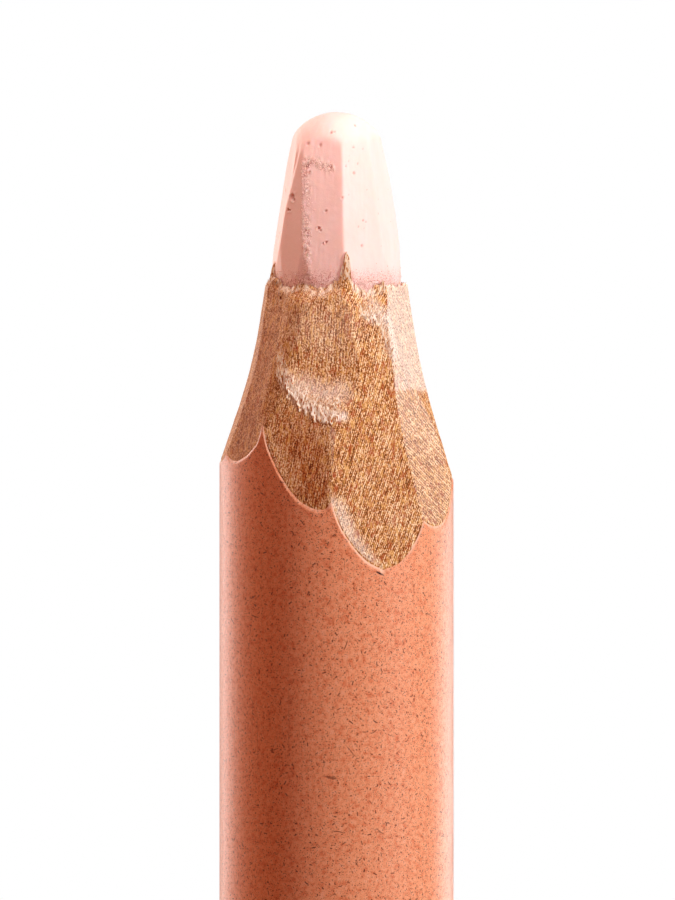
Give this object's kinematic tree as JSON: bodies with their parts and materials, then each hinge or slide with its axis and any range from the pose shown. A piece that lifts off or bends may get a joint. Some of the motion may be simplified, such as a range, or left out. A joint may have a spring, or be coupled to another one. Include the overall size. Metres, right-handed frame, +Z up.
{
  "type": "pencil stub",
  "caption": "Round colour-pencil stub, sharpened by knife to a blunt faceted point, with a thick pigment core, a split wooden casing and a lacquered barrel.",
  "frame": {"origin": "centre of the flat sawn end that the stub stands on", "axes": "+Z up along the pencil to the point; the glue seam of the casing lies in the XZ plane"},
  "size_m": [0.008, 0.008, 0.045],
  "materials": {
    "pigment": "matt wax-bound pigment, pale pink, knife-cut",
    "bare_wood": "bare knife-cut softwood, tan, fibrous",
    "lacquer": "satin coral lacquer with fine dark flecks and scratches"
  },
  "bodies": {
    "root": {"pigment_core": "pigment", "casing_half_front": "bare_wood", "casing_half_back": "bare_wood", "lacquer_coat": "lacquer"}
  },
  "joints": []
}
